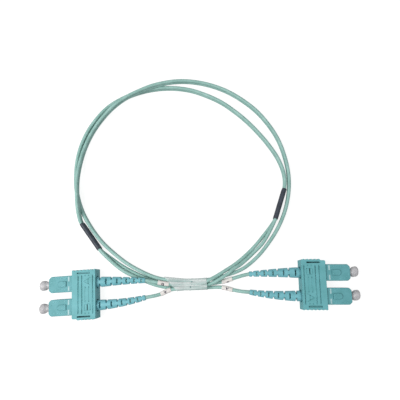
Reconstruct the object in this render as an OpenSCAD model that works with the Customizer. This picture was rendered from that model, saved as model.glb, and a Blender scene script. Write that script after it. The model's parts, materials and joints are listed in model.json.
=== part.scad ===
// Duplex fibre optic patch cord: a looped zip cord with a clipped pair of
// push-pull plugs at each end. Millimetres, +Z up, resting on Z = 0.

/* [Duplex clip] */
// Depth of the clip along the plugs
clip_depth = 13.2; // [12.8:0.2:14]
// Width of the clip across both plugs
clip_width = 27.4; // [26.4:0.2:27.6]
// Height of the closed clip
clip_height = 9.6; // [9.4:0.1:10]
// Distance between the two plug axes
plug_pitch = 12.7; // [12.6:0.1:12.8]

/* [Plug] */
// Width of the sliding grip
grip_width = 9.0; // [8.9:0.1:9.1]
// Height of the sliding grip
grip_height = 7.4; // [7.3:0.1:7.5]
// Length of the grip in front of the clip
grip_reach = 13.5; // [13:0.5:15]
// Diameter of the ceramic ferrule
ferrule_d = 2.5; // [2.5:0.1:2.5]
// Push-pull travel of the grip
grip_travel = 2.0; // [1.5:0.5:2]
// How far the left grip rests behind its forward stop
left_pull = 1.0; // [0:0.5:1]

/* [Boot] */
// Length of the boot behind the clip
boot_length = 28.5; // [28:0.5:29]
// Diameter of the boot where it leaves the clip
boot_root_d = 5.8; // [5.6:0.1:5.8]
// Diameter of the boot at its tip
boot_tip_d = 2.9; // [2.8:0.1:3]

/* [Cable] */
// Diameter of one cable leg
leg_d = 2.0; // [1.8:0.1:2]
// Height of the zip cord where it stands on edge
trunk_height = 4.1; // [3.9:0.1:4.1]
// Length of the heat-shrink sleeves
sleeve_length = 19; // [18:1:19]

/* [Hidden] */
SIDES = ["left", "right"];
PLUGS = ["a", "b"];
PLUG_PARTS = ["outer_housing", "plug_frame", "ferrule", "ferrule_flange", "fibre",
    "spring", "spring_body", "crimp_sleeve", "boot", "dust_cap", "leg", "label"];
CLIP_PARTS = ["clip_upper", "clip_lower", "shrink_sleeve"];
$fn = 40;

gap = 0.05;
axis_z = clip_height / 2 + 0.1;
half_pitch = plug_pitch / 2;
grip_front = clip_depth + grip_reach;
wall = 1.0;

// Where each clip's rear wall stands on the table, and which way its plugs point.
clip_at = [[-57.0, -1.7, 0], [57.0, 3.5, 0]];
clip_turn = [183.7, 0];
pull = [left_pull, 0];
// Sideways lean of the boots, in degrees, towards the middle of the clip.
boot_lean = [[1.9, 5.4], [4.4, 1.8]];
boot_straight = 2;

// Distances along the plug from the clip's rear face, for a grip fully forward.
frame_rear = 8.0;
frame_front = 21.5;
shoulder = 19.5;
collar_rear = 17.3;
ferrule_rear = 17.8;
ferrule_tip = grip_front - 0.4;
tail_rear = 11.5;
spring_rear = 12.5;
stub_rear = 2.5;
jacket_end = 2.3;
crimp_rear = -1.0;
crimp_step = 2.45;
cap_back = 22.9;
cap_floor = ferrule_tip + 0.2;
cap_head = 28.3;
cap_front = 32.5;

// Centres of the boot's relief slots behind the clip, at alternate quarter turns.
slot_at = [2.8, 6.4, 9.3, 12.6, 15.1, 17.9, 19.9, 22.3, 24.1, 26.3];
slot_w = 0.8;

// Heat-shrink sleeves: middle and heading.
sleeve_at = [[-63.6, 31.0, 2.5], [47.9, 49.6, 2.5]];
sleeve_turn = [-52.8, 71.5];
sleeve_wall = 0.35;

// Route of the zip cord from the right sleeve to the left one, middle of its section.
TRUNK = [
    [47.9, 49.6, 2.5], [50.9, 58.6, 2.5], [51.2, 67.5, 2.2], [48.0, 77.5, 2.1],
    [42.3, 87.0, 2.1], [36.0, 95.2, 2.1], [29.3, 102.6, 2.1], [22.0, 109.2, 2.1],
    [14.0, 115.2, 2.1], [5.0, 119.9, 2.1], [-4.8, 123.6, 2.1], [-15.3, 125.4, 2.1],
    [-26.2, 125.3, 2.1], [-37.3, 123.2, 2.1], [-47.9, 119.1, 2.1], [-57.7, 112.7, 2.1],
    [-65.5, 103.5, 2.1], [-71.1, 93.0, 2.1], [-74.4, 81.2, 2.1], [-75.1, 69.2, 2.1],
    [-73.8, 57.4, 2.1], [-70.0, 46.5, 2.1], [-64.3, 36.9, 2.1], [-57.5, 28.4, 2.1],
    [-49.8, 21.4, 2.1], [-41.4, 15.2, 2.1], [-32.5, 10.4, 2.1], [-23.6, 7.0, 2.1],
    [-14.0, 5.6, 2.1], [-4.0, 5.4, 2.1], [5.5, 6.0, 2.1], [15.0, 8.2, 2.1],
    [25.0, 11.9, 2.1], [33.4, 18.4, 2.1], [40.3, 26.4, 2.1], [46.2, 35.3, 2.1],
    [50.7, 45.3, 2.1], [53.4, 56.3, 2.1], [53.9, 67.5, 2.1], [52.1, 78.8, 2.1],
    [48.5, 89.9, 2.1], [42.9, 99.9, 2.1], [35.8, 108.9, 2.1], [27.1, 116.5, 2.1],
    [17.5, 122.7, 2.1], [6.9, 127.0, 2.3], [-4.3, 129.0, 3.3], [-15.4, 128.3, 5.2],
    [-27.4, 125.5, 6.3], [-36.8, 121.8, 6.4], [-45.8, 117.2, 6.3], [-54.0, 111.4, 5.1],
    [-61.2, 104.4, 3.1], [-66.8, 96.0, 2.2], [-70.6, 86.2, 2.5], [-72.4, 75.5, 4.2],
    [-72.8, 64.6, 6.0], [-72.0, 53.9, 6.4], [-71.0, 46.6, 6.3], [-70.3, 42.0, 4.6],
    [-69.4, 38.5, 2.5], [-63.6, 31.0, 2.5]];

// Routes of the four legs from the boot's tip to the middle of the sleeve. The label
// sits on the straight stretch from the second point to the third.
LEG_LEFT_A = [
    [-26.5, 5.0, 4.8], [-23.0, 4.5, 4.6], [-16.8, 3.6, 3.7], [-8.0, 3.3, 3.1],
    [-3.5, 3.4, 3.8], [2.0, 4.1, 4.9], [8.0, 6.7, 5.5], [14.5, 10.5, 4.3],
    [22.0, 15.4, 2.2], [29.8, 22.1, 1.1], [36.4, 29.3, 1.1], [44.8, 40.4, 1.5],
    [47.9, 49.6, 1.5]];
LEG_LEFT_B = [
    [-25.5, -3.1, 4.5], [-21.3, -2.0, 3.9], [-15.6, 0.4, 3.3], [-8.0, 1.2, 3.1],
    [-2.0, 1.4, 3.1], [4.0, 2.7, 3.7], [10.0, 5.1, 5.3], [16.5, 9.1, 5.5],
    [20.0, 11.9, 4.8], [24.5, 14.8, 2.9], [31.2, 20.7, 1.6], [38.1, 28.0, 2.7], [44.8, 40.4, 3.6],
    [47.9, 49.6, 3.6]];
LEG_RIGHT_A = [
    [24.5, -0.5, 4.5], [19.4, 0.4, 3.3], [13.4, 1.7, 2.1], [7.0, 1.7, 1.2],
    [0.0, 1.4, 1.1], [-8.0, 1.2, 1.1], [-16.0, 1.4, 1.1], [-23.5, 2.7, 1.9],
    [-30.0, 4.9, 2.2], [-36.0, 7.4, 2.3], [-43.8, 11.2, 2.6], [-50.9, 16.7, 3.0],
    [-57.9, 23.4, 3.6], [-63.6, 31.0, 3.6]];
LEG_RIGHT_B = [
    [24.5, 8.1, 4.6], [19.4, 6.6, 3.2], [13.4, 4.8, 2.1], [7.0, 3.8, 1.2],
    [0.0, 3.5, 1.1], [-8.0, 3.3, 1.1], [-16.0, 3.5, 1.1], [-23.5, 4.8, 1.1],
    [-30.0, 7.0, 1.1], [-36.0, 9.4, 1.1], [-43.0, 12.9, 1.1], [-50.3, 17.6, 1.1],
    [-57.9, 23.4, 1.5], [-63.6, 31.0, 1.5]];
LEGS = [[LEG_LEFT_A, LEG_LEFT_B], [LEG_RIGHT_A, LEG_RIGHT_B]];
label_d = 2.6;

// Film wrap round the bundle: middle, half width and half height at each station. Its
// left edge is slanted.
FILM = [
    [[-15.8, 3.6, 2.6], 5.6, 2.6], [[-8.0, 3.34, 2.15], 3.3, 2.15],
    [[-3.0, 3.4, 2.53], 3.25, 2.53], [[2.0, 3.63, 3.03], 3.3, 3.03],
    [[5.0, 3.8, 3.18], 3.35, 3.18]];
film_slant = 45;
film_wall = 0.12;
film_corner = 0.7;

aqua = [0.42, 0.68, 0.71];
mint = [0.62, 0.79, 0.76];

function unit(v) = v / norm(v);
function last(list) = len(list) - 1;
function heading(path, i) = unit(path[min(i + 1, last(path))] - path[max(i - 1, 0)]);

// One ring of a swept section: x across the route, y upwards.
function ring(at, along, outline) =
    let (across = unit(cross([0, 0, 1], along)), up = cross(along, across))
    [for (p = outline) at + p[0] * across + p[1] * up];

function oval(half_w, half_h, sides) = [for (k = [0:sides - 1])
    [half_w * cos(360 * k / sides), half_h * sin(360 * k / sides)]];

// Closed solid through a list of rings with the same number of points.
module skin(rings) {
    sides = len(rings[0]);
    points = [for (r = rings) for (p = r) p];
    walls = [for (i = [0:last(rings) - 1], k = [0:sides - 1])
        let (a = i * sides + k, b = i * sides + (k + 1) % sides)
        each [[a, a + sides, b + sides], [a, b + sides, b]]];
    start = [for (k = [0:sides - 1]) k];
    end = [for (k = [sides - 1:-1:0]) last(rings) * sides + k];
    polyhedron(points, concat([start], walls, [end]), convexity = 10);
}

module sweep(path, outline) {
    skin([for (i = [0:last(path)]) ring(path[i], heading(path, i), outline)]);
}

// Cylinder along X from x0 to x1, centred on the plug axis.
module bar(x0, x1, d) {
    translate([x0, 0, 0]) rotate([0, 90, 0]) cylinder(d = d, h = x1 - x0);
}

module tube(x0, x1, outer, inner) {
    difference() {
        bar(x0, x1, outer);
        bar(x0 - 1, x1 + 1, inner);
    }
}

module block(x0, x1, w, h) {
    translate([x0, -w / 2, -h / 2]) cube([x1 - x0, w, h]);
}

// Places a plug part: moving parts of the grip stay with the clip, inner parts
// stand forward by the pull.
module at_clip(side) {
    translate(clip_at[side]) rotate(clip_turn[side]) children();
}

module at_plug(side, plug, forward) {
    y = plug == 0 ? -half_pitch : half_pitch;
    at_clip(side) translate([forward, y, axis_z]) children();
}

function boot_d(s) = boot_root_d - 0.3
    + (boot_tip_d - boot_root_d + 0.3) * max(0, s - boot_straight) / (boot_length - boot_straight);

function turned(p, a) = [p[0] * cos(a) - p[1] * sin(a), p[0] * sin(a) + p[1] * cos(a), p[2]];

// Point on a boot's axis at distance s behind the clip's rear face: straight back at
// first, then leaning.
function on_table(side, plug, s) =
    let (a = s > boot_straight ? boot_lean[side][plug] : 0, flip = plug == 0 ? 1 : -1,
        x = -boot_straight - (s - boot_straight) * cos(a), y = (s - boot_straight) * sin(a))
    clip_at[side] + turned(
        [x + pull[side], flip * (y - half_pitch), axis_z], clip_turn[side]);
function leg_path(side, plug) = concat(
    [for (s = [-jacket_end, boot_straight, boot_length]) on_table(side, plug, s)],
    LEGS[side][plug]);

// Sliding grip: a square sleeve with chamfered front corners, a polarity key on top
// and a window in each side.
module outer_housing(side, plug) {
    rear = 1.7;
    corner = 1.35;
    hw = grip_width / 2;
    outline = [[rear, -hw], [grip_front - corner, -hw], [grip_front, corner - hw],
        [grip_front, hw - corner], [grip_front - corner, hw], [rear, hw]];
    color(aqua) at_plug(side, plug, 0) difference() {
        union() {
            translate([0, 0, -grip_height / 2]) linear_extrude(grip_height) polygon(outline);
            translate([16.7, -1.45, 0]) cube([4.8, 2.9, grip_height / 2 + 0.6]);
        }
        block(0, grip_front + 1, grip_width - 2 * wall, grip_height - 2 * wall);
        translate([17.4, -hw - 1, -1.1]) cube([5.6, grip_width + 2, 2.2]);
    }
}

// Inner plug frame, open at the rear, with a shoulder that stops the flange.
module plug_frame(side, plug) {
    color(aqua) at_plug(side, plug, pull[side]) difference() {
        block(frame_rear, frame_front, 6.8, 5.2);
        bar(0, frame_front + 1, ferrule_d + 0.3);
        bar(0, shoulder, 4.4);
    }
}

module ferrule(side, plug) {
    color("white") at_plug(side, plug, pull[side])
        tube(ferrule_rear, ferrule_tip, ferrule_d, 0.13);
}

module ferrule_flange(side, plug) {
    color("silver") at_plug(side, plug, pull[side]) difference() {
        union() {
            bar(collar_rear, shoulder - gap, 4.2);
            bar(tail_rear, collar_rear, 2.0);
        }
        bar(ferrule_rear, shoulder + 1, ferrule_d);
        bar(tail_rear - 1, shoulder + 1, 1.0);
    }
}

// Bare fibre in the ferrule, 0.9 mm buffer behind it.
module fibre(side, plug) {
    color("ivory") at_plug(side, plug, pull[side]) {
        bar(ferrule_rear - 0.5, ferrule_tip, 0.125);
        bar(3.6, ferrule_rear - 0.5, 0.9);
    }
}

module spring(side, plug) {
    coil_r = 1.55;
    wire = 0.4;
    turns = 4.5;
    steps = 16;
    x0 = spring_rear + wire / 2 + 0.02;
    x1 = collar_rear - wire / 2 - 0.02;
    n = floor(turns * steps);
    path = [for (i = [0:n]) [x0 + (x1 - x0) * i / n,
        coil_r * cos(360 * i / steps), coil_r * sin(360 * i / steps)]];
    rings = [for (i = [0:n])
        let (t = heading(path, i), out = unit([0, path[i][1], path[i][2]]), b = cross(out, t))
        [for (k = [0:5]) path[i] + wire / 2 * (cos(60 * k) * b + sin(60 * k) * out)]];
    color("gray") at_plug(side, plug, pull[side]) skin(rings);
}

// Metal rear stop: seats the spring and carries the crimp.
module spring_body(side, plug) {
    color("silver") at_plug(side, plug, pull[side]) difference() {
        union() {
            bar(frame_rear, spring_rear, 4.36);
            bar(frame_rear - 1, frame_rear, 5.2);
            bar(stub_rear, frame_rear - 1, 3.2);
        }
        bar(9.5, spring_rear + 1, 2.3);
        bar(0, 10, 1.2);
    }
}

module crimp_sleeve(side, plug) {
    color("silver") at_plug(side, plug, pull[side]) difference() {
        union() {
            bar(crimp_step - 0.45, frame_rear - 1, 4.0);
            bar(crimp_rear, crimp_step, 3.0);
        }
        bar(crimp_step, frame_rear, 3.2);
        bar(crimp_rear - 1, crimp_step + 1, leg_d + gap);
    }
}

// Boot: a tapered rubber sleeve with relief slots at alternate quarter turns. Its
// root is straight and the rest leans as one.
module boot(side, plug) {
    run = boot_length - boot_straight;
    color(aqua) at_plug(side, plug, pull[side]) difference() {
        union() {
            bar(-0.6, 6.8, 5.2);
            bar(-boot_straight - 1, -0.6, boot_root_d);
            boot_place(side, plug, boot_straight)
                cylinder(d1 = boot_d(boot_straight), d2 = boot_tip_d, h = run);
        }
        bar(crimp_rear - 0.3, 7, 4.1);
        bar(-boot_straight - 0.6, 0, leg_d + 0.6);
        boot_place(side, plug, boot_straight) cylinder(d = leg_d + 0.2, h = run + 1);
        for (i = [0:last(slot_at)]) {
            boot_slot(side, plug, slot_at[i], (i + plug) % 2 == 0);
        }
    }
}

// Stands +Z on the leaning axis at distance s, pointing to the boot's tip.
module boot_place(side, plug, s) {
    flip = plug == 0 ? 1 : -1;
    translate([-boot_straight, 0, 0]) rotate(-flip * boot_lean[side][plug])
        translate([boot_straight - s, 0, 0]) rotate([0, -90, 0]) children();
}

// Two opposite cuts down to the cable: sideways ones, or ones above and below.
module boot_slot(side, plug, s, sideways) {
    reach = boot_d(s);
    open = 0.72 * reach;
    boot_place(side, plug, s) rotate(sideways ? 90 : 0)
        for (x = [0.75, -0.75 - reach]) {
            translate([x, -open / 2, -slot_w / 2]) cube([reach, open, slot_w]);
        }
}

module dust_cap(side, plug) {
    head_d = 5.6;
    soft = 0.8;
    profile = [[0, cap_back], [2.0, cap_back], [2.0, cap_head], [head_d / 2, cap_head + 0.3],
        [head_d / 2, cap_front - soft], [head_d / 2 - soft, cap_front], [0, cap_front]];
    color("lightgray") at_plug(side, plug, pull[side]) difference() {
        rotate([0, 90, 0]) rotate_extrude() polygon(profile);
        bar(cap_back - 1, cap_floor, ferrule_d + 0.1);
    }
}

module leg(side, plug) {
    color(mint) sweep(leg_path(side, plug), oval(leg_d / 2, leg_d / 2, 8));
}

module label(side, plug) {
    route = LEGS[side][plug];
    run = route[2] - route[1];
    color("white") translate(route[1])
        rotate([0, acos(run[2] / norm(run)), atan2(run[1], run[0])]) difference() {
            cylinder(d = label_d, h = norm(run));
            translate([0, 0, -1]) cylinder(d = leg_d, h = norm(run) + 2);
        }
}

// Half of the duplex clip, cut at the parting plane. Children are cut away too.
module clip_half(side, top) {
    hw = clip_width / 2;
    ridge = 0.45;
    pitch = 2.0;
    bottom = top ? axis_z : 0;
    height = top ? clip_height - axis_z : axis_z;
    outline = concat([[0, -hw + ridge]], comb(-1, hw, ridge, pitch),
        [[clip_depth - 0.8, -hw + ridge], [clip_depth, -hw + ridge + 0.8],
            [clip_depth, hw - ridge - 0.8], [clip_depth - 0.8, hw - ridge]],
        comb_back(hw, ridge, pitch), [[0, hw - ridge]]);
    at_clip(side) difference() {
        translate([0, 0, bottom]) linear_extrude(height) polygon(outline);
        for (y = [-half_pitch, half_pitch]) translate([0, y, axis_z]) {
            block(1.2, clip_depth + 1, grip_width + 2 * gap, grip_height + 2 * gap);
            bar(-1, 2, 6.9);
        }
        children();
    }
}

// Grip ridges along one end of the clip, front to back order kept by the caller.
function comb(sign, hw, ridge, pitch) = [for (i = [0:5])
    let (x = 0.6 + i * pitch)
    each [[x, sign * (hw - ridge)], [x + 0.6, sign * hw], [x + 1.2, sign * hw],
        [x + 1.7, sign * (hw - ridge)]]];
function comb_back(hw, ridge, pitch) =
    let (row = comb(1, hw, ridge, pitch)) [for (i = [last(row):-1:0]) row[i]];

latch_x = [2.9, 10.3];
latch_y = clip_width / 2 - 1.9;

module clip_upper(side) {
    color(aqua) clip_half(side, true) {
        for (y = [-latch_y, latch_y]) {
            translate([latch_x[0], y - 0.5, 0]) cube([latch_x[1] - latch_x[0], 1, clip_height + 1]);
        }
    }
}

module clip_lower(side) {
    tab_w = 0.5;
    color(aqua) {
        clip_half(side, false);
        at_clip(side) for (y = [-latch_y, latch_y]) {
            translate([latch_x[0] + 0.2, y + 0.1 * sign(y) - tab_w / 2, axis_z - 0.5])
                cube([latch_x[1] - latch_x[0] - 0.4, tab_w, 2.5]);
        }
    }
}

module racetrack(w, h, length) {
    rotate([90, 0, 90]) linear_extrude(length, center = true) union() {
        square([w, h - w], center = true);
        for (y = [-1, 1]) translate([0, y * (h - w) / 2]) circle(d = w);
    }
}

module shrink_sleeve(side) {
    bore_w = leg_d + gap;
    bore_h = trunk_height + 2 * gap;
    color("darkslategray") translate(sleeve_at[side]) rotate(sleeve_turn[side]) difference() {
        racetrack(bore_w + 2 * sleeve_wall, bore_h + 2 * sleeve_wall, sleeve_length);
        racetrack(bore_w, bore_h, sleeve_length + 2);
    }
}

module trunk_cable() {
    w = leg_d / 2;
    h = trunk_height / 2;
    outline = [[w, -0.6 * h], [w, 0.6 * h], [0.55 * w, h], [-0.55 * w, h],
        [-w, 0.6 * h], [-w, -0.6 * h], [-0.55 * w, -h], [0.55 * w, -h]];
    color(mint) sweep(TRUNK, outline);
}

// Box outline with rounded corners, from its half width and half height.
function rounded(half_w, half_h, r) = [for (corner = [0:3], k = [0:3])
    let (a = 90 * corner + 30 * k, right = corner == 0 || corner == 3 ? 1 : -1,
        up = corner < 2 ? 1 : -1)
    [right * (half_w - r) + r * cos(a), up * (half_h - r) + r * sin(a)]];

function film_rings(inset) =
    let (path = [for (f = FILM) f[0]])
    [for (i = [0:last(FILM)])
        ring(path[i], i == 0 ? [cos(film_slant), sin(film_slant), 0] : heading(path, i),
            rounded(FILM[i][1] - inset, FILM[i][2] - inset, film_corner))];

// A ring carried on past the end of its skin, away from the next one.
function beyond(end, next) = [for (k = [0:last(end)]) end[k] + 0.2 * (end[k] - next[k])];

module film_wrap() {
    inside = film_rings(film_wall);
    n = last(inside);
    color("white", 0.5) difference() {
        skin(film_rings(0));
        skin(concat([beyond(inside[0], inside[1])], inside,
            [beyond(inside[n], inside[n - 1])]));
    }
}

for (s = [0, 1], p = [0, 1]) {
    name = str(SIDES[s], "_", PLUGS[p], "_");
    outer_housing(s, p);
    plug_frame(s, p);
    ferrule(s, p);
    ferrule_flange(s, p);
    fibre(s, p);
    spring(s, p);
    spring_body(s, p);
    crimp_sleeve(s, p);
    boot(s, p);
    dust_cap(s, p);
    leg(s, p);
    label(s, p);
}
for (s = [0, 1]) {
    clip_upper(s);
    clip_lower(s);
    shrink_sleeve(s);
}
trunk_cable();
film_wrap();
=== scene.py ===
"""Looks of a duplex fibre optic patch cord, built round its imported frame.

Lengths are in millimetres in the frame's own axes. settle() turns a finished piece into metres.
A connector's own axes run x from the clip's rear face to the plug tips, y across and z up.
"""

import json
import math

import bpy
from mathutils import Matrix, Vector, noise


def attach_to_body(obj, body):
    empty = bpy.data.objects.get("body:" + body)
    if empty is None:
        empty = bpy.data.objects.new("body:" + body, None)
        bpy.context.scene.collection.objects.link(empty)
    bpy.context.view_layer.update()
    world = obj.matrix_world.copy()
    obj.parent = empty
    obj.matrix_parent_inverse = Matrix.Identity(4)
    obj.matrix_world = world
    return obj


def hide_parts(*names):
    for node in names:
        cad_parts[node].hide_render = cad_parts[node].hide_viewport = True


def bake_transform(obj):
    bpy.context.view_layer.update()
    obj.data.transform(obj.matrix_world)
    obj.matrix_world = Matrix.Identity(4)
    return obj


MM = 0.001
SIDES = ("left", "right")
PLUGS = ("a", "b")

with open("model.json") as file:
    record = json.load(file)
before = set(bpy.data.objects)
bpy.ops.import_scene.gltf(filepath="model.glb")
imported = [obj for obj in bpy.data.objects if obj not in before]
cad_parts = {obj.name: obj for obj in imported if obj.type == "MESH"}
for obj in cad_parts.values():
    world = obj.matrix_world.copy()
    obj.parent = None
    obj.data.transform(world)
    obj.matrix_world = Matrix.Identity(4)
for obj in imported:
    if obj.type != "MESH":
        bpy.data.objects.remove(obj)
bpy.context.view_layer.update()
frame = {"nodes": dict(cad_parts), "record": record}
mounts = {m["name"]: m for m in frame["record"]["mounts"]}

# Camera, as it stands over the cord.
CAMERA_SPOT = (10.7, 4.5, 227.2)
CAMERA_AIM = (0.8, 53.0, 0.0)
SENSOR_WIDTH = 36.0
LENS = 34.75
FLOOR_HALF = 1500.0

# Sizes of the clip, the plugs and the cords, as the frame has them. PULL is how far a side's
# inner parts stand forward of its grips at rest.
CLIP_DEPTH = 13.2
CLIP_WIDTH = 27.4
CLIP_HEIGHT = 9.6
AXIS_Z = 4.9
HALF_PITCH = 6.35
GRIP_WIDTH = 9.0
GRIP_HEIGHT = 7.4
GRIP_REAR = 1.7
GRIP_FRONT = 26.7
GRIP_WALL = 1.0
PULL = {"left": 1.0, "right": 0.0}
LEG_D = 2.0
TRUNK_HEIGHT = 4.1

# Boots: length behind the clip, how far each one turns towards the clip's middle, and its slots.
BOOT_LENGTH = 28.5
BOOT_STRAIGHT = 2.0
BOOT_NECK_R = 2.6
BOOT_ROOT_R = 2.9
BOOT_TIP_R = 1.45
BOOT_TURN = {"left": {"a": 3.8, "b": 10.8}, "right": {"a": 8.8, "b": 3.6}}
BOOT_SLOTS = (2.8, 6.4, 9.3, 12.6, 15.1, 17.9, 19.9, 22.3, 24.1, 26.3)

# Heat-shrink sleeves: middle, heading in degrees and length.
SLEEVES = {"left": ((-63.6, 31.0, 2.5), -52.8), "right": ((47.9, 49.6, 2.5), 71.5)}
SLEEVE_LENGTH = 19.0
SLEEVE_WALL = 0.35

# Middle of the zip cord's section, from the right sleeve to the left one.
TRUNK = [
    (47.9, 49.6, 2.5), (50.9, 58.6, 2.5), (51.2, 67.5, 2.2), (48.0, 77.5, 2.1),
    (42.3, 87.0, 2.1), (36.0, 95.2, 2.1), (29.3, 102.6, 2.1), (22.0, 109.2, 2.1),
    (14.0, 115.2, 2.1), (5.0, 119.9, 2.1), (-4.8, 123.6, 2.1), (-15.3, 125.4, 2.1),
    (-26.2, 125.3, 2.1), (-37.3, 123.2, 2.1), (-47.9, 119.1, 2.1), (-57.7, 112.7, 2.1),
    (-65.5, 103.5, 2.1), (-71.1, 93.0, 2.1), (-74.4, 81.2, 2.1), (-75.1, 69.2, 2.1),
    (-73.8, 57.4, 2.1), (-70.0, 46.5, 2.1), (-64.3, 36.9, 2.1), (-57.5, 28.4, 2.1),
    (-49.8, 21.4, 2.1), (-41.4, 15.2, 2.1), (-32.5, 10.4, 2.1), (-23.6, 7.0, 2.1),
    (-14.0, 5.6, 2.1), (-4.0, 5.4, 2.1), (5.5, 6.0, 2.1), (15.0, 8.2, 2.1),
    (25.0, 11.9, 2.1), (33.4, 18.4, 2.1), (40.3, 26.4, 2.1), (46.2, 35.3, 2.1),
    (50.7, 45.3, 2.1), (53.4, 56.3, 2.1), (53.9, 67.5, 2.1), (52.1, 78.8, 2.1),
    (48.5, 89.9, 2.1), (42.9, 99.9, 2.1), (35.8, 108.9, 2.1), (27.1, 116.5, 2.1),
    (17.5, 122.7, 2.1), (6.9, 127.0, 2.3), (-4.3, 129.0, 3.3), (-15.4, 128.3, 5.2),
    (-27.4, 125.5, 6.3), (-36.8, 121.8, 6.4), (-45.8, 117.2, 6.3), (-54.0, 111.4, 5.1),
    (-61.2, 104.4, 3.1), (-66.8, 96.0, 2.2), (-70.6, 86.2, 2.5), (-72.4, 75.5, 4.2),
    (-72.8, 64.6, 6.0), (-72.0, 53.9, 6.4), (-71.0, 46.6, 6.3), (-70.3, 42.0, 4.6),
    (-69.4, 38.5, 2.5), (-63.6, 31.0, 2.5),
]

# The legs, from just behind the boot's tip to the middle of the sleeve.
LEGS = {
    "left": {
        "a": [
            (-26.5, 5.0, 4.8), (-23.0, 4.5, 4.6), (-16.8, 3.6, 3.7), (-8.0, 3.3, 3.1),
            (-3.5, 3.4, 3.8), (2.0, 4.1, 4.9), (8.0, 6.7, 5.5), (14.5, 10.5, 4.3),
            (22.0, 15.4, 2.2), (29.8, 22.1, 1.1), (36.4, 29.3, 1.1), (44.8, 40.4, 1.5),
            (47.9, 49.6, 1.5),
        ],
        "b": [
            (-25.5, -3.1, 4.5), (-21.3, -2.0, 3.9), (-15.6, 0.4, 3.3), (-8.0, 1.2, 3.1),
            (-2.0, 1.4, 3.1), (4.0, 2.7, 3.7), (10.0, 5.1, 5.3), (16.5, 9.1, 5.5),
            (20.0, 11.9, 4.8), (24.5, 14.8, 2.9), (31.2, 20.7, 1.6), (38.1, 28.0, 2.7),
            (44.8, 40.4, 3.6), (47.9, 49.6, 3.6),
        ],
    },
    "right": {
        "a": [
            (24.5, -0.5, 4.5), (19.4, 0.4, 3.3), (13.4, 1.7, 2.1), (7.0, 1.7, 1.2),
            (0.0, 1.4, 1.1), (-8.0, 1.2, 1.1), (-16.0, 1.4, 1.1), (-23.5, 2.7, 1.9),
            (-30.0, 4.9, 2.2), (-36.0, 7.4, 2.3), (-43.8, 11.2, 2.6), (-50.9, 16.7, 3.0),
            (-57.9, 23.4, 3.6), (-63.6, 31.0, 3.6),
        ],
        "b": [
            (24.5, 8.1, 4.6), (19.4, 6.6, 3.2), (13.4, 4.8, 2.1), (7.0, 3.8, 1.2),
            (0.0, 3.5, 1.1), (-8.0, 3.3, 1.1), (-16.0, 3.5, 1.1), (-23.5, 4.8, 1.1),
            (-30.0, 7.0, 1.1), (-36.0, 9.4, 1.1), (-43.0, 12.9, 1.1), (-50.3, 17.6, 1.1),
            (-57.9, 23.4, 1.5), (-63.6, 31.0, 1.5),
        ],
    },
}

# Label sleeves: outer and inner radius, the letter of each and how far round the leg it is turned.
LABEL_R = 1.3
LABEL_BORE_R = 1.03
LABEL_TEXT = {"left": {"a": "B", "b": "A"}, "right": {"a": "A", "b": "B"}}
LABEL_ROLL = {"left": {"a": 38, "b": 12}, "right": {"a": 10, "b": 72}}

# Film round the bundle: middle, half width and half height at each station. Its left edge is
# slanted, so that the side towards the loop reaches further left, and a seam runs across it.
FILM = [
    ((-15.8, 3.6, 2.6), 3.96, 2.6),
    ((-8.0, 3.34, 2.15), 3.3, 2.15),
    ((-3.0, 3.4, 2.53), 3.25, 2.53),
    ((2.0, 3.63, 3.03), 3.3, 3.03),
    ((5.0, 3.8, 3.18), 3.35, 3.18),
]
FILM_SLANT = 4.0
FILM_SEAM = -4.0


# ---------------------------------------------------------------- camera, floor and light

def aimed(spot, aim, upwards):
    """World matrix of a camera or light at spot that looks at aim."""
    spot, ahead = Vector(spot) * MM, (Vector(aim) - Vector(spot)).normalized()
    right = ahead.cross(Vector(upwards)).normalized()
    turn = Matrix((right, right.cross(ahead), -ahead)).transposed().to_4x4()
    return Matrix.Translation(spot) @ turn


def link(obj):
    bpy.context.scene.collection.objects.link(obj)
    return obj


def add_camera():
    data = bpy.data.cameras.new("camera")
    data.sensor_width = SENSOR_WIDTH
    data.lens = LENS
    data.clip_start = 0.005
    camera = link(bpy.data.objects.new("camera", data))
    camera.matrix_world = aimed(CAMERA_SPOT, CAMERA_AIM, (0, 1, 0))
    bpy.context.scene.camera = camera


def add_light(name, spot, aim, size, watts, colour):
    data = bpy.data.lights.new(name, "AREA")
    data.shape = "DISK"
    data.size = size * MM
    data.energy = watts
    data.color = colour
    light = link(bpy.data.objects.new(name, data))
    light.matrix_world = aimed(spot, aim, (0, 1, 0))


def add_studio():
    """Pale floor that sends no light back to the object, even sky and two soft lights."""
    half = FLOOR_HALF
    corners = [(-half, -half, 0), (half, -half, 0), (half, half, 0), (-half, half, 0)]
    floor = new_object("floor", (corners, [(0, 1, 2, 3)]))
    floor.data.transform(Matrix.Scale(MM, 4))
    floor.data.materials.append(floor_white())
    floor.visible_diffuse = False
    floor.visible_glossy = False

    world = bpy.data.worlds.new("studio")
    world.use_nodes = True
    sky = world.node_tree.nodes["Background"]
    sky.inputs["Color"].default_value = (1.0, 1.0, 1.0, 1.0)
    sky.inputs["Strength"].default_value = 0.48
    bpy.context.scene.world = world
    bpy.context.scene.view_settings.view_transform = "Standard"

    middle = (-10.0, 50.0, 0.0)
    add_light("key", (-230.0, -30.0, 380.0), middle, 280.0, 1.35, (1.0, 0.99, 0.97))
    add_light("fill", (200.0, -80.0, 420.0), middle, 320.0, 0.1, (0.95, 0.98, 1.0))


# ---------------------------------------------------------------- shapes: (points, faces)

def merged(*shapes):
    """Several closed shapes as one."""
    points, faces = [], []
    for more, sides in shapes:
        start = len(points)
        points.extend(Vector(p) for p in more)
        faces.extend(tuple(start + i for i in f) for f in sides)
    return points, faces


def placed(shape, at):
    return [at @ Vector(p) for p in shape[0]], shape[1]


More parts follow.
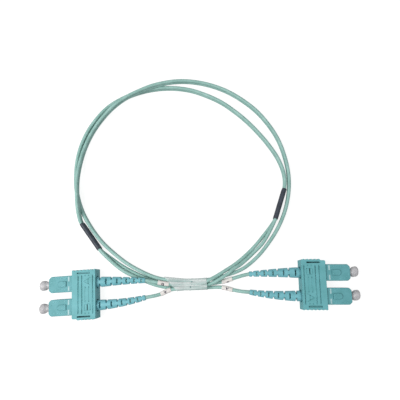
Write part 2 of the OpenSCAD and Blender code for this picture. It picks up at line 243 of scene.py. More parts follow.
def loft(rings, loop=False):
    """Skin over rings with the same number of points. A loop joins the last ring to the first."""
    n, count = len(rings[0]), len(rings)
    points = [Vector(p) for ring in rings for p in ring]
    faces = []
    for i in range(count if loop else count - 1):
        j = (i + 1) % count
        for k in range(n):
            m = (k + 1) % n
            faces.append((i * n + k, i * n + m, j * n + m, j * n + k))
    if not loop:
        faces.append(tuple(reversed(range(n))))
        faces.append(tuple((count - 1) * n + k for k in range(n)))
    return points, faces


def prism(outline, z0, z1):
    return loft([[(x, y, z) for x, y in outline] for z in (z0, z1)])


def block(x, y, z):
    """Box from pairs of limits."""
    return prism([(x[0], y[0]), (x[1], y[0]), (x[1], y[1]), (x[0], y[1])], *z)


def lathe(profile, loop=False, sides=48):
    """Turned shape round X from (x, radius) pairs, in the order that leaves the outside out."""
    turns = [2 * math.pi * k / sides for k in range(sides)]
    return loft([[(x, r * math.cos(t), r * math.sin(t)) for t in turns] for x, r in profile], loop)


def bar(x0, x1, radius):
    return lathe([(x0, radius), (x1, radius)])


def arc(middle, radius, start, end, steps):
    """Points of an arc in a plane, angles in degrees."""
    turns = [math.radians(start + (end - start) * i / steps) for i in range(steps + 1)]
    return [(middle[0] + radius * math.cos(t), middle[1] + radius * math.sin(t)) for t in turns]


def ribbon(line, width):
    """Outline of a stroke of even width along a flat line."""
    line = [Vector(p) for p in line]
    left, right = [], []
    for i, p in enumerate(line):
        before = (p - line[i - 1]).normalized() if i else None
        after = (line[i + 1] - p).normalized() if i + 1 < len(line) else None
        along = ((before or after) + (after or before)).normalized()
        stretch = 1 / max(0.5, along.dot(after or before))
        side = Vector((-along.y, along.x)) * width / 2 * stretch
        left.append(tuple(p + side))
        right.append(tuple(p - side))
    return right + left[::-1]


def divided(line):
    """The same line with points in between, so that it can follow a round surface."""
    step = 0.3
    points = []
    for (u0, v0), (u1, v1) in zip(line, line[1:]):
        parts = max(1, round(math.hypot(u1 - u0, v1 - v0) / step))
        points += [(u0 + (u1 - u0) * k / parts, v0 + (v1 - v0) * k / parts) for k in range(parts)]
    return points + [line[-1]]


def letter(name, high, wide, stroke):
    """Outlines of a plain A or B in strokes, centred: x to its right, y to its top."""
    if name == "A":
        lines = [[(0, 0), (0.5, 1), (1, 0)], [(0.2, 0.36), (0.8, 0.36)]]
    else:
        upper = arc((0.66, 0.76), 0.24, 90, -90, 6)
        lower = arc((0.72, 0.26), 0.26, 90, -90, 6)
        lines = [[(0, 0), (0, 1)] + upper + [(0, 0.52)], [(0, 0.52)] + lower + [(0, 0)]]
    scaled = [[((u - 0.5) * wide, (v - 0.5) * high) for u, v in line] for line in lines]
    return [ribbon(divided(line), stroke) for line in scaled]


def smooth(route, step=1.0):
    """Points about a step apart on a smooth curve through the route."""
    points = [Vector(p) for p in route]
    ends = [2 * points[0] - points[1]] + points + [2 * points[-1] - points[-2]]
    line = []
    for a, b, c, d in zip(ends, ends[1:], ends[2:], ends[3:]):
        n = max(2, round((c - b).length / step))
        for t in (i / n for i in range(n)):
            line.append(0.5 * (2 * b + (c - a) * t + (2 * a - 5 * b + 4 * c - d) * t * t
                               + (3 * b - a - 3 * c + d) * t ** 3))
    return line + [points[-1]]


def frames(line):
    """At each point of a line: the point, the way along it, the way across and the way up."""
    for i, p in enumerate(line):
        along = (line[min(i + 1, len(line) - 1)] - line[max(i - 1, 0)]).normalized()
        across = Vector((0, 0, 1)).cross(along).normalized()
        yield p, along, across, along.cross(across)


def swept(line, outline):
    """Skin of an outline carried along a line."""
    return loft([[p + x * across + y * up for x, y in outline]
                 for p, _, across, up in frames(line)])


def circle(radius, sides):
    return [(radius * math.cos(2 * math.pi * k / sides), radius * math.sin(2 * math.pi * k / sides))
            for k in range(sides)]


# ---------------------------------------------------------------- objects

def new_object(name, shape):
    data = bpy.data.meshes.new(name)
    data.from_pydata([tuple(p) for p in shape[0]], [], shape[1])
    data.validate()
    return link(bpy.data.objects.new(name, data))


def bake(obj):
    """Applies an object's modifiers."""
    shown = obj.evaluated_get(bpy.context.evaluated_depsgraph_get())
    data = bpy.data.meshes.new_from_object(shown)
    obj.modifiers.clear()
    obj.data = data


def combine(obj, shape, operation="DIFFERENCE"):
    """Cuts a shape out of an object, or adds it."""
    tool = new_object("tool", shape)
    mod = obj.modifiers.new("combine", "BOOLEAN")
    mod.operation = operation
    mod.solver = "EXACT"
    mod.use_self = True
    mod.object = tool
    bake(obj)
    bpy.data.objects.remove(tool)


def bevel(obj, width, angle=30):
    """Rounds the edges that are sharper than an angle in degrees."""
    mod = obj.modifiers.new("bevel", "BEVEL")
    mod.width = width
    mod.segments = 3
    mod.limit_method = "ANGLE"
    mod.angle_limit = math.radians(angle)
    mod.use_clamp_overlap = True
    bake(obj)


def reshape(obj, move):
    """Moves every point of an object's mesh."""
    for v in obj.data.vertices:
        v.co = move(v.co)
    obj.data.update()


def settle(obj, body, looks, replaces, at=Matrix(), crisp=True):
    """Puts a finished piece in place in metres, with its material, body and CAD nodes."""
    obj.data.transform(Matrix.Scale(MM, 4) @ at)
    obj.data.shade_smooth()
    if crisp:
        obj.data.set_sharp_from_angle(angle=math.radians(38))
        mod = obj.modifiers.new("even", "WEIGHTED_NORMAL")
        mod.keep_sharp = True
    if not obj.data.materials:
        obj.data.materials.append(looks)
    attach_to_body(obj, body)
    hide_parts(*replaces)
    return obj


# ---------------------------------------------------------------- materials

def srgb(red, green, blue):
    """Linear colour from 0-255 display values."""
    def linear(v):
        v /= 255
        return v / 12.92 if v <= 0.04045 else ((v + 0.055) / 1.055) ** 2.4
    return tuple(linear(v) for v in (red, green, blue)) + (1.0,)


def shader(name):
    mat = bpy.data.materials.new(name)
    mat.use_nodes = True
    return mat, mat.node_tree, mat.node_tree.nodes["Principled BSDF"]


def add_noise(tree, scale, detail=3.0, stretch=None):
    """Noise over the object's own coordinates, in features per metre."""
    where = tree.nodes.new("ShaderNodeTexCoord").outputs["Object"]
    if stretch:
        turn = tree.nodes.new("ShaderNodeMapping")
        turn.inputs["Scale"].default_value = stretch
        tree.links.new(where, turn.inputs["Vector"])
        where = turn.outputs["Vector"]
    made = tree.nodes.new("ShaderNodeTexNoise")
    made.inputs["Scale"].default_value = scale
    made.inputs["Detail"].default_value = detail
    tree.links.new(where, made.inputs["Vector"])
    return made.outputs["Fac"]


def ramp(tree, value, stops, socket):
    """Colours a noise value: stops are (position, colour)."""
    node = tree.nodes.new("ShaderNodeValToRGB")
    band = node.color_ramp
    while len(band.elements) < len(stops):
        band.elements.new(0.5)
    for element, (position, colour) in zip(band.elements, stops):
        element.position = position
        element.color = colour
    tree.links.new(value, node.inputs["Fac"])
    tree.links.new(node.outputs["Color"], socket)


def levels(tree, value, low, high, socket):
    """Spreads a noise value over a range."""
    node = tree.nodes.new("ShaderNodeMapRange")
    node.inputs["From Min"].default_value = 0.3
    node.inputs["From Max"].default_value = 0.7
    node.inputs["To Min"].default_value = low
    node.inputs["To Max"].default_value = high
    tree.links.new(value, node.inputs["Value"])
    tree.links.new(node.outputs["Result"], socket)


def bump(tree, value, strength, depth, socket):
    node = tree.nodes.new("ShaderNodeBump")
    node.inputs["Strength"].default_value = strength
    node.inputs["Distance"].default_value = depth * MM
    tree.links.new(value, node.inputs["Height"])
    tree.links.new(node.outputs["Normal"], socket)


def moulded(name, dark, mid, light, rough, patch=260.0, grain=5200.0, relief=0.12):
    """Moulded plastic or rubber: soft blotches, uneven gloss and a fine skin."""
    mat, tree, surface = shader(name)
    blotch = add_noise(tree, patch)
    ramp(tree, blotch, [(0.3, dark), (0.5, mid), (0.7, light)], surface.inputs["Base Color"])
    levels(tree, add_noise(tree, patch * 4), rough - 0.06, rough + 0.08,
           surface.inputs["Roughness"])
    bump(tree, add_noise(tree, grain, 4.0), relief, 0.02, surface.inputs["Normal"])
    return mat, surface


def aqua_plastic(name, dark, mid, light):
    mat, surface = moulded(name, dark, mid, light, 0.5, relief=0.05)
    surface.inputs["Specular IOR Level"].default_value = 0.3
    return mat


def frame_plastic():
    return moulded(
        "frame_plastic", srgb(92, 160, 166), srgb(99, 167, 173), srgb(106, 173, 180), 0.45)[0]


def boot_rubber():
    mat, surface = moulded(
        "boot_rubber", srgb(105, 174, 184), srgb(113, 182, 193), srgb(121, 190, 202), 0.5,
        patch=340.0, grain=4200.0, relief=0.2)
    surface.inputs["Sheen Weight"].default_value = 0.08
    return mat


def cable_jacket():
    mat, surface = moulded(
        "cable_jacket", srgb(139, 181, 173), srgb(148, 189, 182), srgb(158, 198, 191), 0.46,
        patch=190.0, grain=2600.0, relief=0.25)
    surface.inputs["Subsurface Weight"].default_value = 0.08
    surface.inputs["Subsurface Radius"].default_value = (0.001, 0.001, 0.001)
    return mat


def heat_shrink():
    return moulded(
        "heat_shrink", srgb(44, 50, 61), srgb(53, 60, 72), srgb(62, 69, 81), 0.5,
        patch=420.0, grain=3000.0, relief=0.35)[0]


def cap_plastic():
    mat, surface = moulded(
        "cap_plastic", srgb(178, 177, 180), srgb(188, 187, 190), srgb(198, 197, 200), 0.4,
        patch=300.0, grain=3600.0, relief=0.15)
    surface.inputs["Subsurface Weight"].default_value = 0.35
    surface.inputs["Subsurface Radius"].default_value = (0.0012, 0.0012, 0.0013)
    return mat


def label_sleeve():
    return moulded(
        "label_sleeve", srgb(216, 211, 208), srgb(226, 222, 219), srgb(234, 230, 228), 0.6,
        patch=500.0, grain=6000.0, relief=0.2)[0]


def clear_film():
    mat, tree, surface = shader("clear_film")
    crease = add_noise(tree, 520.0, 2.0, stretch=(0.07, 1.5, 0.8))
    # The paler, more opaque streaks that the crease noise puts into the base colour and alpha are
    # painted highlights along the creases. The bump and roughness it drives are real creases.
    ramp(tree, crease, [(0.35, srgb(206, 224, 223)), (0.65, srgb(240, 245, 245))],
         surface.inputs["Base Color"])
    levels(tree, crease, 0.4, 0.55, surface.inputs["Roughness"])
    levels(tree, crease, 0.28, 0.6, surface.inputs["Alpha"])
    bump(tree, crease, 0.5, 0.1, surface.inputs["Normal"])
    surface.inputs["Specular IOR Level"].default_value = 0.25
    return mat


def metal(name, dark, light, rough, stretch):
    """Plated or drawn metal with fine marks along one direction."""
    mat, tree, surface = shader(name)
    marks = add_noise(tree, 1800.0, 4.0, stretch=stretch)
    ramp(tree, marks, [(0.3, dark), (0.7, light)], surface.inputs["Base Color"])
    levels(tree, marks, rough - 0.07, rough + 0.1, surface.inputs["Roughness"])
    bump(tree, marks, 0.2, 0.01, surface.inputs["Normal"])
    surface.inputs["Metallic"].default_value = 1.0
    return mat


def ceramic():
    mat, surface = moulded(
        "ceramic", srgb(236, 233, 224), srgb(241, 239, 231), srgb(246, 244, 238), 0.16,
        grain=9000.0, relief=0.04)
    surface.inputs["Coat Weight"].default_value = 0.3
    return mat


def glass_fibre():
    mat, surface = moulded(
        "glass_fibre", srgb(226, 232, 230), srgb(234, 240, 238), srgb(242, 247, 246), 0.14,
        grain=9000.0, relief=0.04)
    surface.inputs["Transmission Weight"].default_value = 0.5
    surface.inputs["IOR"].default_value = 1.46
    return mat


def printed(name, dark, light):
    mat, tree, surface = shader(name)
    ramp(tree, add_noise(tree, 2400.0), [(0.35, dark), (0.65, light)], surface.inputs["Base Color"])
    levels(tree, add_noise(tree, 900.0), 0.5, 0.65, surface.inputs["Roughness"])
    return mat


def floor_white():
    """Pale studio floor that glows a little, so that it photographs white."""
    mat, tree, surface = shader("floor_white")
    ramp(tree, add_noise(tree, 6.0), [(0.3, (0.2, 0.2, 0.2, 1)), (0.7, (0.24, 0.24, 0.24, 1))],
         surface.inputs["Base Color"])
    surface.inputs["Roughness"].default_value = 0.9
    surface.inputs["Emission Color"].default_value = (1.0, 1.0, 1.0, 1.0)
    surface.inputs["Emission Strength"].default_value = 0.88
    return mat


# ---------------------------------------------------------------- where things are

def clip_place(side):
    """A connector's own axes: x from the clip's rear face to the plug tips, y across, z up."""
    pair = mounts[side + "_plug_pair"]
    ahead = Vector(pair["axis"])
    across = Vector((0, 0, 1)).cross(ahead)
    rear = Vector(pair["pos_m"]) / MM - GRIP_FRONT * ahead
    rear.z = 0
    return Matrix.Translation(rear) @ Matrix((ahead, across, (0, 0, 1))).transposed().to_4x4()


def plug_place(side, plug, forward=0.0):
    y = -HALF_PITCH if plug == "a" else HALF_PITCH
    return clip_place(side) @ Matrix.Translation((forward, y, AXIS_Z))


def on_boot(side, plug, s):
    """On a boot's axis, s behind the clip: the point in the plug's axes, and the way back there."""
    turn = math.radians(BOOT_TURN[side][plug])
    inward = 1 if plug == "a" else -1
    if s <= BOOT_STRAIGHT:
        return Vector((-s, 0, 0)), Vector((-1, 0, 0))
    rate = turn / (BOOT_LENGTH - BOOT_STRAIGHT)
    angle = rate * (s - BOOT_STRAIGHT)
    point = Vector((-BOOT_STRAIGHT - math.sin(angle) / rate,
                    inward * (1 - math.cos(angle)) / rate, 0))
    return point, Vector((-math.cos(angle), inward * math.sin(angle), 0))


# ---------------------------------------------------------------- the clip

# Gripping ridges at the ends, grooves across the top (x of each) and the two latch slots.
RIDGE_PITCH = 2.05
RIDGE_DEPTH = 0.7
SPLIT_GAP = 0.03
CLIP_ROUND = 0.12
GROOVES = (1.4, 3.5, 5.5, 7.5, 9.6)
LETTERED_GROOVES = (3.5, 5.5)
LATCH_Y = CLIP_WIDTH / 2 - 1.9


def clip_end(valley, last):
    """One end of a clip from rear to front: rounded ridges with sharp valleys between them."""
    half, step = CLIP_WIDTH / 2, RIDGE_PITCH / 8
    line = []
    for k in range(-int(valley / step), round((last - valley) / step) + 1):
        rise = abs(math.sin(math.pi * k / 8)) ** 0.8
        line.append((valley + k * step, half - RIDGE_DEPTH * (1 - rise)))
    return [(0.0, line[0][1])] + line


def clip_outline():
    """A clip seen from above: plain rear and front, gripping ridges along both ends."""
    half = CLIP_WIDTH / 2
    b_end = clip_end(0.4, 10.6) + [(12.6, half - 0.75), (CLIP_DEPTH, half - 1.15)]
    a_end = clip_end(1.4, 12.6) + [(CLIP_DEPTH, half - 0.3)]
    return b_end[::-1] + [(x, -y) for x, y in a_end]


def channels():
    """The two tunnels for the grips, and the round holes that the boots come out of."""
    wide, high = GRIP_WIDTH / 2 + 0.05, GRIP_HEIGHT / 2 + 0.05
    tunnel = block((1.2, CLIP_DEPTH + 1), (-wide, wide), (-high, high))
    one = merged(tunnel, bar(-1, 1.3, 3.45))
    return [placed(one, Matrix.Translation((0, y, AXIS_Z))) for y in (-HALF_PITCH, HALF_PITCH)]


def latch_slots():
    """Slots through the upper half, where the lower half's tabs snap in."""
    return [block((2.9, 10.3), (y - 0.42, y + 0.42), (AXIS_Z - 1, CLIP_HEIGHT + 1))
            for y in (-LATCH_Y, LATCH_Y)]


def top_marks():
    """Shallow grooves, dimples at their ends and the letters of the two plugs."""
    top, deep = CLIP_HEIGHT + 0.5, CLIP_HEIGHT - 0.15
    marks = []
    for x in GROOVES:
        lettered = x in LETTERED_GROOVES
        spans = [(-3.4, 3.0)] if lettered else [(-9.7, 9.5)]
        dots = (-10.3, -4.1, 3.8, 10.1) if lettered else (-10.3, 10.1)
        for y0, y1 in spans:
            outline = arc((x, y1), 0.36, 0, 180, 8) + arc((x, y0), 0.36, 180, 360, 8)
            marks.append(prism(outline, deep, top))
        for y in dots:
            dimple = [(x + u, y + v) for u, v in circle(0.4, 14)]
            marks.append(prism(dimple, deep - 0.15, top + 0.1))
    for name, y, high, wide in (("A", -7.1, 3.7, 4.2), ("B", 6.7, 3.3, 3.6)):
        for outline in letter(name, high, wide, 0.46):
            turned = [(4.4 + v, y - u) for u, v in outline]
            marks.append(prism(turned, deep - 0.1, top + 0.2))
    return marks


def add_clip(side):
    """Upper and lower half, snapped together round the two grips."""
    outline, body, at = clip_outline(), side + "_grip", clip_place(side)
    upper = new_object(side + "_clip_upper_shell", prism(outline, AXIS_Z + SPLIT_GAP, CLIP_HEIGHT))
    bevel(upper, CLIP_ROUND, angle=72)
    combine(upper, merged(*channels(), *latch_slots()))
    combine(upper, merged(*top_marks()))
    settle(upper, body, LOOKS["aqua"], [side + "_clip_upper"], at)

    lower = new_object(side + "_clip_lower_shell", prism(outline, 0.0, AXIS_Z - SPLIT_GAP))
    bevel(lower, CLIP_ROUND, angle=72)
    combine(lower, merged(*channels()))
    tabs = [block((3.1, 10.1), (y - 0.25, y + 0.25), (AXIS_Z - 0.5, AXIS_Z + reach))
            for y, reach in ((-LATCH_Y - 0.1, 3.9), (LATCH_Y + 0.1, 0.6))]
    combine(lower, merged(*tabs), "UNION")
    settle(lower, body, LOOKS["aqua"], [side + "_clip_lower"], at)


# ---------------------------------------------------------------- the plugs

# The polarity key: its reach along x, half width and height; the side windows; two white dashes.
KEY_X, KEY_HALF, KEY_HIGH = (16.7, 21.5), 1.45, 0.6
WINDOW_X, WINDOW_Z = (17.4, 23.0), (-1.1, 1.1)
DASH_X, DASH_HALF, DASH_Y = (14.9, 15.7), 1.3, 2.65


def add_housing(side, plug):
    """Sliding grip: a square sleeve with a key in a shallow groove, side windows and two dashes."""
    half, top, corner = GRIP_WIDTH / 2, GRIP_HEIGHT / 2, 1.35
    outline = [(GRIP_REAR, -half), (GRIP_FRONT - corner, -half), (GRIP_FRONT, corner - half),
               (GRIP_FRONT, half - corner), (GRIP_FRONT - corner, half), (GRIP_REAR, half)]
    name = f"{side}_{plug}_outer_housing"
    shell = new_object(name + "_shell", prism(outline, -top, top))
    bevel(shell, 0.45)

    rear, front = KEY_X

    def key_shape(more):
        """The key's outline, grown: square towards the cable, round towards the tip."""
        wide = KEY_HALF + more
        return ([(rear - more, wide), (rear - more, -wide)]
                + arc((front - KEY_HALF, 0), wide, -90, 90, 12))

    combine(shell, prism(key_shape(0.22), top - 0.16, top + 1))
    key = new_object("key", prism(key_shape(0.0), top - 0.6, top + KEY_HIGH))
    bevel(key, 0.14)
    key_mesh = [v.co for v in key.data.vertices], [tuple(f.vertices) for f in key.data.polygons]
    combine(shell, key_mesh, "UNION")
    bpy.data.objects.remove(key)

    inner, flat = half - GRIP_WALL, top - GRIP_WALL
    cuts = [block((0, GRIP_FRONT + 1), (-inner, inner), (-flat, flat))]
    cuts.append(block(WINDOW_X, (-half - 1, half + 1), WINDOW_Z))
    combine(shell, merged(*cuts))

    shell.data.materials.append(LOOKS["grip"])
    shell.data.materials.append(LOOKS["paint"])
    plain = len(shell.data.polygons)
    dashes = merged(*[block(DASH_X, (y - DASH_HALF, y + DASH_HALF), (top - 0.2, top + 0.03))
                      for y in (-DASH_Y, DASH_Y)])
    attach(shell, dashes)
    for face in list(shell.data.polygons)[plain:]:
        face.material_index = 1
    settle(shell, side + "_grip", LOOKS["grip"], [name], plug_place(side, plug))


def attach(obj, shape):
    """Adds a separate closed shape to an object's mesh."""
    data = obj.data
    old = ([v.co.copy() for v in data.vertices], [tuple(f.vertices) for f in data.polygons])
    painted = [f.material_index for f in data.polygons]
    looks = list(data.materials)
    points, faces = merged(old, shape)
    made = bpy.data.meshes.new(data.name)
    made.from_pydata([tuple(p) for p in points], [], faces)
    for mat in looks:
        made.materials.append(mat)
    for face, index in zip(made.polygons, painted):
        face.material_index = index
    obj.data = made


def add_cap(side, plug):
    """Dust cap: a soft plastic thimble with a thicker, rounded head."""
    back, floor, head_at, front = 22.9, 26.5, 28.1, 31.8
    bore, neck, head_r, round_r = 1.3, 2.0, 2.8, 1.45
    flare = ((-0.9, 0.0), (-0.5, 0.06), (0.0, 0.28), (0.5, 0.58), (0.9, 0.73), (1.4, head_r - neck))
    lean = 0.17 if side == "right" else 0.03
    profile = [(floor, 0.02), (floor, bore), (back, bore), (back, neck - 0.15), (back + 0.15, neck)]
    profile += [(head_at + x, neck + y) for x, y in flare]
    profile += arc((front - round_r, head_r - round_r), round_r, 90, 8, 10)
    profile += [(front, 1.0), (front - 0.12, 0.8), (front - 0.12, 0.02)]
    name = f"{side}_{plug}_dust_cap"
    cap = new_object(name + "_moulding", lathe(profile))
    seed = Vector((SIDES.index(side) * 7.0, PLUGS.index(plug) * 5.0, 3.0))

    def squeeze(p):
        """A head that is not quite round and leans a little to one side."""
        past = max(0.0, p.x - head_at + 0.8)
        swell = 1 + 0.08 * min(1.0, past) * noise.noise(p * 0.35 + seed)
        return Vector((p.x, p.y * swell + lean * past, p.z * swell))

    reshape(cap, squeeze)
    settle(cap, f"{side}_{plug}_cap", LOOKS["cap"], [name],
           plug_place(side, plug, PULL[side]))


def boot_radius(s):
    """Outer radius of a boot at distance s behind the clip."""
    if s < 0.5:
        return BOOT_NECK_R
    return BOOT_ROOT_R + (BOOT_TIP_R - BOOT_ROOT_R) * max(0.0, s - 3.0) / (BOOT_LENGTH - 3.0)


def boot_cut(s, sideways):
    """Two opposite slots at distance s, wider at the surface, in straight boot axes (x = s)."""
    half = (0.93 if sideways else 0.62) * boot_radius(s)

    def mouth(w, z):
        return [(s - w, -half, z), (s + w, -half, z), (s + w, half, z), (s - w, half, z)]

    wedge = loft([mouth(0.3, 0.85), mouth(0.66 if sideways else 0.5, boot_radius(s) + 0.6)])
    turns = (90, -90) if sideways else (0, 180)
    return [placed(wedge, Matrix.Rotation(math.radians(t), 4, "X")) for t in turns]


def add_boot(side, plug):
    """Strain relief: a tapered rubber sleeve, slotted at alternate quarter turns, gently bent."""
    front, bore, lip = -6.8, 1.13, 0.3
    outer = [(front, BOOT_NECK_R), (0.3, BOOT_NECK_R), (0.6, BOOT_ROOT_R)]
    outer += [(s, boot_radius(s)) for s in (3.0, 10.0, 20.0, BOOT_LENGTH - lip)]
    outer += [(BOOT_LENGTH, BOOT_TIP_R - lip)]
    inner = [(BOOT_LENGTH, bore), (1.0, bore), (0.8, 2.05), (front, 2.05)]
    name = f"{side}_{plug}_boot"
    boot = new_object(name + "_rubber", lathe(outer + inner, loop=True, sides=40))
    cuts = []
    for i, s in enumerate(BOOT_SLOTS):
        cuts += boot_cut(s, (i + PLUGS.index(plug)) % 2 == 0)
    combine(boot, merged(*cuts))

    mod = boot.modifiers.new("even", "REMESH")
    mod.mode = "VOXEL"
    mod.voxel_size = 0.13
    mod = boot.modifiers.new("soft", "SMOOTH")
    mod.factor = 0.5
    mod.iterations = 3
    bake(boot)

    def bend(p):
        point, back = on_boot(side, plug, p.x)
        across = Vector((0, 0, 1)).cross(back)
        return point + across * p.y + Vector((0, 0, p.z))

    reshape(boot, bend)
    settle(boot, "cable_core", LOOKS["boot"], [name],
           plug_place(side, plug, PULL[side]), crisp=False)


# ---------------------------------------------------------------- the cable

def leg_line(side, plug):
    """The leg from just behind the clip: through the bent boot, then along its route."""
    place = plug_place(side, plug, PULL[side])
    along_boot = (2.5, 8.0, 14.0, 20.0, 25.0, BOOT_LENGTH)
    inside = [place @ on_boot(side, plug, s)[0] for s in along_boot]
    return smooth(inside + LEGS[side][plug])


def add_leg(side, plug):
    line = leg_line(side, plug)
    leg = new_object(f"{side}_{plug}_leg_jacket", swept(line, circle(LEG_D / 2, 20)))
    settle(leg, "cable_core", LOOKS["jacket"], [f"{side}_{plug}_leg"], crisp=False)
    label = add_label(side, plug, line)
    tip = plug_place(side, plug, PULL[side]) @ on_boot(side, plug, BOOT_LENGTH)[0]


def add_label(side, plug, line):
    """Paper-white sleeve on a leg, with a letter printed on it."""
    route = LEGS[side][plug]
    first, last = [min(range(len(line)), key=lambda i: (line[i] - Vector(p)).length)
                   for p in (route[1], route[2])]
    stretch = list(frames(line))[first:last + 1]
    sides = 32

    def ring(at, radius):
        p, _, across, up = at
        return [p + x * across + y * up for x, y in circle(radius, sides)]

    wall = [ring(at, LABEL_R) for at in stretch]
    lip = [ring(stretch[-1], LABEL_BORE_R), ring(stretch[0], LABEL_BORE_R)]
    wall[0], wall[-1] = ring(stretch[0], LABEL_R - 0.04), ring(stretch[-1], LABEL_R - 0.04)
    name = f"{side}_{plug}_label"
    label = new_object(name + "_sleeve", loft(wall + lip, loop=True))
    label.data.materials.append(LOOKS["label"])
    label.data.materials.append(LOOKS["ink"])
    plain = len(label.data.polygons)

    middle, along, across, up = stretch[len(stretch) // 2]
    facing = -1 if side == "left" else 1
    strokes = []
    roll = math.radians(LABEL_ROLL[side][plug])
    for outline in letter(LABEL_TEXT[side][plug], 1.5, 1.35, 0.4):
        rings = []
        for radius in (LABEL_R - 0.12, LABEL_R + 0.04):
            rings.append([middle + facing * u * along
                          + radius * math.sin(facing * (v / LABEL_R + roll)) * across
                          + radius * math.cos(v / LABEL_R + roll) * up for u, v in outline])
        strokes.append(loft(rings))
    attach(label, merged(*strokes))
    for face in list(label.data.polygons)[plain:]:
        face.material_index = 1
    return settle(label, "cable_core", LOOKS["label"], [name])


def zip_outline():
    """Two round jackets joined by a thin web, standing on edge."""
    radius, web, start = LEG_D / 2, 0.34, 52.0
    rise = TRUNK_HEIGHT / 2 - radius
    upper = arc((0, rise), radius, -start, 180 + start, 14)
    lower = arc((0, -rise), radius, 180 - start, 360 + start, 14)
    return upper + [(-web, 0.0)] + lower + [(web, 0.0)]


def add_trunk(pieces):
    line = smooth(TRUNK, 1.6)
    trunk = new_object("trunk_zip_cord", swept(line, zip_outline()))
    settle(trunk, "cable_core", LOOKS["jacket"], ["trunk_cable"], crisp=False)


def racetrack(wide, high):
    """Upright outline with round top and bottom."""
    rise = (high - wide) / 2
    steps = 10
    return arc((0, rise), wide / 2, 0, 180, steps) + arc((0, -rise), wide / 2, 180, 360, steps)


def add_sleeve(side):
    """Heat-shrink tube where the zip cord parts into two legs."""
    middle, heading = SLEEVES[side]
    wide = LEG_D + 0.05 + 2 * SLEEVE_WALL
    high = TRUNK_HEIGHT + 0.1 + 2 * SLEEVE_WALL
    count = 40
    rings = []
    for i in range(count + 1):
        x = SLEEVE_LENGTH * (i / count - 0.5)
        edge = SLEEVE_LENGTH / 2 - abs(x)
        inset = 0.1 * math.exp(-edge / 0.5)
        ring = []
        for y, z in racetrack(wide - 2 * inset, high - 2 * inset):
            lumps = 0.05 * noise.noise(Vector((x * 0.5, y * 0.8, z * 0.6 + 9 * SIDES.index(side))))
            ring.append((x, y * (1 + lumps), z))
        rings.append(ring)
    inner = racetrack(LEG_D + 0.02, TRUNK_HEIGHT + 0.04)
    for x in (SLEEVE_LENGTH / 2 - 0.05, -SLEEVE_LENGTH / 2 + 0.05):
        rings.append([(x, y, z) for y, z in inner])
    tube = new_object(side + "_shrink_sleeve_tube", loft(rings, loop=True))
    at = Matrix.Translation(middle) @ Matrix.Rotation(math.radians(heading), 4, "Z")
    return settle(tube, "cable_core", LOOKS["shrink"], [side + "_shrink_sleeve"], at)


def add_film():
    """Thin clear film round the bundle: soft creases along it, a seam across it and two dots."""
    line = smooth([f[0] for f in FILM], 0.35)
    first = FILM[0][0][0]

    def size(x):
        """Half width and half height at x."""
        for (a, wide_a, high_a), (b, wide_b, high_b) in zip(FILM, FILM[1:]):
            if x <= b[0]:
                t = (x - a[0]) / (b[0] - a[0])
                return wide_a + (wide_b - wide_a) * t, high_a + (high_b - high_a) * t
        return FILM[-1][1:]

    def boxy(v):
        """Pushes a point of the unit circle out towards a square's side."""
        return math.copysign(abs(v) ** 0.38, v)

    def ring(at, inset):
        p, along, across, up = at
        wide, high = size(p.x)
        free = max(0.0, 1 - (p.x - first) / 7.8)
        points = []
        for c, d in circle(1.0, 88):
            u, v = boxy(c), boxy(d)
            crease = 0.11 * noise.noise(Vector((p.x * 0.1, c * 4.5, d * 4.5)))
            seam = 0.09 * math.exp(-((p.x - FILM_SEAM - 0.7 * u) / 0.2) ** 2)
            side_way, height = wide + crease + seam - inset, high + crease + seam - inset
            slant = -FILM_SLANT * free * u + 0.35 * noise.noise(Vector((c * 2, d * 2, p.x * 0.1)))
            q = p + u * side_way * across + v * height * up + slant * along
            points.append(Vector((q.x, q.y, max(q.z, 0.02 + inset * 0.5))))
        return points

    stations = list(frames(line))
    rings = [ring(at, 0.0) for at in stations] + [ring(at, 0.03) for at in reversed(stations)]
    film = new_object("film_wrap_sheet", loft(rings, loop=True))
    film.data.materials.append(LOOKS["film"])
    film.data.materials.append(LOOKS["dot"])
    plain = len(film.data.polygons)
    dots = []
    for x, y in ((-3.6, 4.8), (-4.4, 1.9)):
        top = max(p.z for r in rings for p in r if abs(p.x - x) < 0.5 and abs(p.y - y) < 0.8)
        dots.append(prism([(x + u, y + v) for u, v in circle(0.36, 20)], top - 0.08, top + 0.03))
    attach(film, merged(*dots))
    for face in list(film.data.polygons)[plain:]:
        face.material_index = 1
    return settle(film, "cable_core", LOOKS["film"], ["film_wrap"], crisp=False)


# ---------------------------------------------------------------- the hidden metal and ceramic

# Nodes that stay as they are, with the looks they get.
KEPT = {
    "plug_frame": "frame", "ferrule": "ceramic", "ferrule_flange": "nickel", "fibre": "fibre",
    "spring_body": "nickel", "crimp_sleeve": "crimp",
}


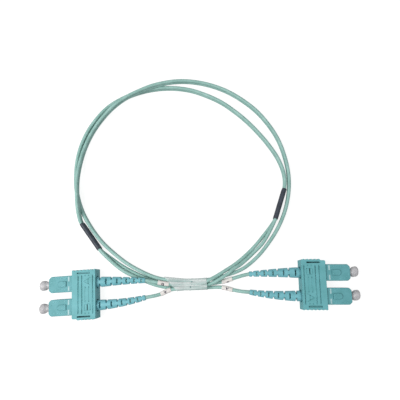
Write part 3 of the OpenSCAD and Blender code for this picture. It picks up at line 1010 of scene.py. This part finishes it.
def add_spring(side, plug):
    """Fine steel coil between rear stop and flange, built at one fixed length."""
    rear, front = 12.72, 17.08
    coil_r, wire_r, turns, steps = 1.55, 0.2, 4.5, 32
    pitch = (front - rear) / turns
    rings = []
    for i in range(int(turns * steps) + 1):
        angle = 2 * math.pi * i / steps
        out = Vector((0, math.cos(angle), math.sin(angle)))
        along = Vector((pitch / (2 * math.pi), -coil_r * out.z, coil_r * out.y)).normalized()
        middle = Vector((rear + pitch * i / steps, 0, 0)) + coil_r * out
        rings.append([middle + x * along.cross(out) + y * out for x, y in circle(wire_r, 12)])
    name = f"{side}_{plug}_spring"
    place = plug_place(side, plug, PULL[side])
    spring = new_object(name + "_coil", loft(rings))
    spring.data.transform(Matrix.Scale(MM, 4) @ place)
    spring.data.shade_smooth()
    spring.data.materials.append(LOOKS["spring"])
    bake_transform(spring)
    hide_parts(name)


def dress_kept_nodes():
    for side in SIDES:
        for plug in PLUGS:
            for part, look in KEPT.items():
                node = frame["nodes"][f"{side}_{plug}_{part}"]
                for slot in node.material_slots:
                    slot.material = LOOKS[look]


# ---------------------------------------------------------------- the whole cord

LOOKS = {
    "aqua": aqua_plastic(
        "clip_plastic", srgb(99, 168, 173), srgb(105, 174, 180), srgb(111, 180, 187)),
    "grip": aqua_plastic(
        "grip_plastic", srgb(92, 158, 163), srgb(98, 164, 170), srgb(104, 170, 177)),
    "frame": frame_plastic(), "boot": boot_rubber(),
    "jacket": cable_jacket(), "shrink": heat_shrink(), "cap": cap_plastic(),
    "label": label_sleeve(), "film": clear_film(), "ceramic": ceramic(), "fibre": glass_fibre(),
    "nickel": metal("nickel", srgb(186, 182, 176), srgb(214, 211, 206), 0.24, (6.0, 1.0, 1.0)),
    "crimp": metal("crimp_metal", srgb(158, 154, 146), srgb(190, 186, 178), 0.34, (1.0, 6.0, 6.0)),
    "spring": metal(
        "spring_steel", srgb(132, 132, 134), srgb(170, 170, 172), 0.28, (1.0, 1.0, 1.0)),
    "ink": printed("label_ink", srgb(56, 54, 70), srgb(84, 82, 98)),
    "paint": printed("white_mark", srgb(150, 190, 195), srgb(184, 214, 218)),
    "dot": printed("film_dot", srgb(58, 112, 112), srgb(80, 134, 134)),
}

add_camera()
add_studio()
add_trunk([add_sleeve("left"), add_sleeve("right"), add_film()])
for side in SIDES:
    add_clip(side)
    for plug in PLUGS:
        add_leg(side, plug)
        add_boot(side, plug)
        add_spring(side, plug)
        add_housing(side, plug)
        add_cap(side, plug)
dress_kept_nodes()
